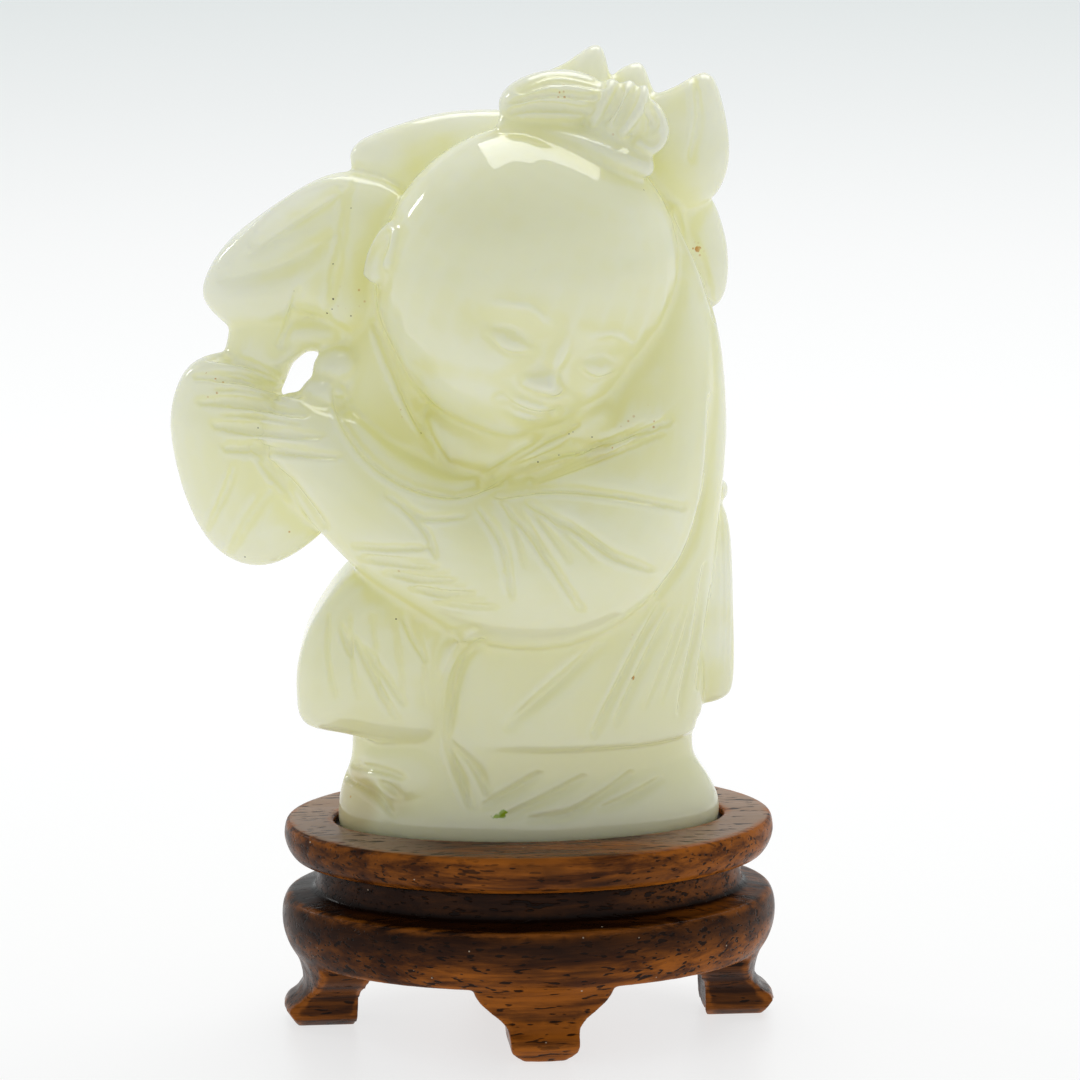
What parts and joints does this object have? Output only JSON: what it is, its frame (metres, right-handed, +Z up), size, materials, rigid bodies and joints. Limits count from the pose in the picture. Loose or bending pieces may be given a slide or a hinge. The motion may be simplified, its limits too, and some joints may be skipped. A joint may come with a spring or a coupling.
{
  "type": "jade figure on wooden stand",
  "caption": "Carved jade figure of a crouching boy with a lotus spray over the shoulder, seated in the pocket of an oval footed hardwood stand.",
  "frame": {"origin": "on the floor, under the centre of the bounding box of the figure and its stand", "axes": "+Z up, +X along the stand's long axis to the viewer's right, -Y towards the viewer that the boy faces"},
  "size_m": [0.0424, 0.0252, 0.069],
  "materials": {
    "jade": "polished pale green, slightly translucent",
    "hardwood": "dark stained, open pored, semi-gloss"
  },
  "bodies": {
    "root": {"jade_boy": "jade", "wood_stand": "hardwood"}
  },
  "joints": []
}
